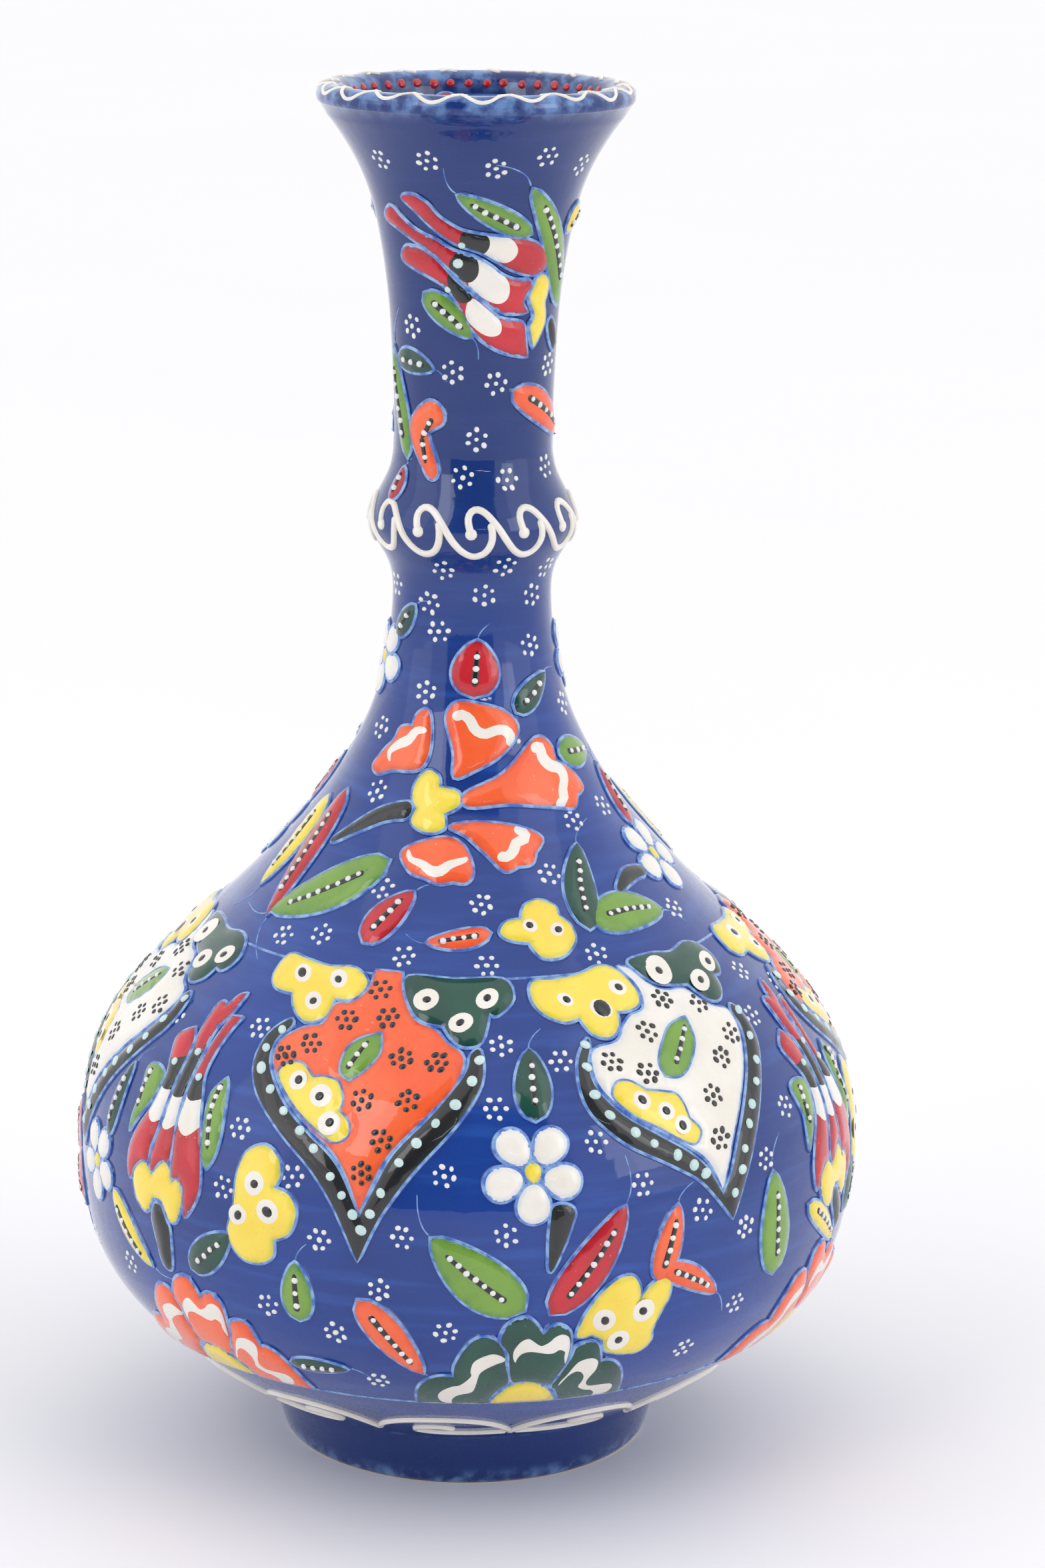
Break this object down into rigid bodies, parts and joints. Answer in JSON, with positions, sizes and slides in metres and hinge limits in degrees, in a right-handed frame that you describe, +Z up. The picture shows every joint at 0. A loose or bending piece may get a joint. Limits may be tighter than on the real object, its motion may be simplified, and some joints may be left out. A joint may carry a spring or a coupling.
{
  "type": "bottle vase",
  "caption": "Hand-painted glazed bottle vase: round belly on a foot ring, long neck with a collar bulge, flared mouth, raised enamel flowers and medallions.",
  "frame": {"origin": "centre of the foot ring's base, on the surface the vase stands on", "axes": "+Z up along the turning axis; the front, between an orange and a cream medallion, faces -Y"},
  "size_m": [0.1716, 0.1726, 0.3015],
  "materials": {
    "cobalt_glaze": "high-gloss cobalt blue glaze, slightly mottled",
    "cream_slip": "raised cream slip under clear gloss glaze",
    "red_enamel": "raised speckled red enamel, gloss",
    "orange_enamel": "raised speckled orange enamel, gloss",
    "yellow_enamel": "raised yellow enamel, gloss",
    "light_green_enamel": "raised leaf green enamel, gloss",
    "dark_green_enamel": "raised dark green enamel, gloss",
    "black_enamel": "raised black enamel, gloss",
    "pale_outline": "thin pale blue outline where the cobalt glaze breaks over the slip line"
  },
  "bodies": {
    "root": {"foot_ring": "cobalt_glaze", "belly_bowl": "cobalt_glaze", "shoulder_shell": "cobalt_glaze", "lower_neck": "cobalt_glaze", "neck_collar": "cobalt_glaze", "upper_neck": "cobalt_glaze", "mouth_lip": "cobalt_glaze", "mouth_trail": "cream_slip", "collar_scroll": "cream_slip", "foot_scroll": "cream_slip", "medallion_1_field": "orange_enamel", "medallion_1_border": "black_enamel", "medallion_1_left_crest": "yellow_enamel", "medallion_1_right_crest": "dark_green_enamel", "medallion_2_field": "cream_slip", "medallion_2_border": "black_enamel", "medallion_2_left_crest": "yellow_enamel", "medallion_2_right_crest": "dark_green_enamel", "medallion_3_field": "orange_enamel", "medallion_3_border": "black_enamel", "medallion_3_left_crest": "yellow_enamel", "medallion_3_right_crest": "dark_green_enamel", "medallion_4_field": "cream_slip", "medallion_4_border": "black_enamel", "medallion_4_left_crest": "yellow_enamel", "medallion_4_right_crest": "dark_green_enamel", "medallion_5_field": "orange_enamel", "medallion_5_border": "black_enamel", "medallion_5_left_crest": "yellow_enamel", "medallion_5_right_crest": "dark_green_enamel", "medallion_6_field": "cream_slip", "medallion_6_border": "black_enamel", "medallion_6_left_crest": "yellow_enamel", "medallion_6_right_crest": "dark_green_enamel", "tulip_1": "red_enamel", "tulip_2": "red_enamel", "tulip_3": "red_enamel", "daisy_1": "cream_slip", "daisy_2": "cream_slip", "daisy_3": "cream_slip", "palmette_1": "dark_green_enamel", "palmette_2": "orange_enamel", "palmette_3": "orange_enamel", "palmette_4": "dark_green_enamel", "palmette_5": "orange_enamel", "palmette_6": "dark_green_enamel", "carnation_petal_1": "orange_enamel", "carnation_petal_2": "orange_enamel", "carnation_petal_3": "orange_enamel", "carnation_petal_4": "orange_enamel", "carnation_petal_5": "orange_enamel", "carnation_centre": "yellow_enamel"}
  },
  "joints": []
}
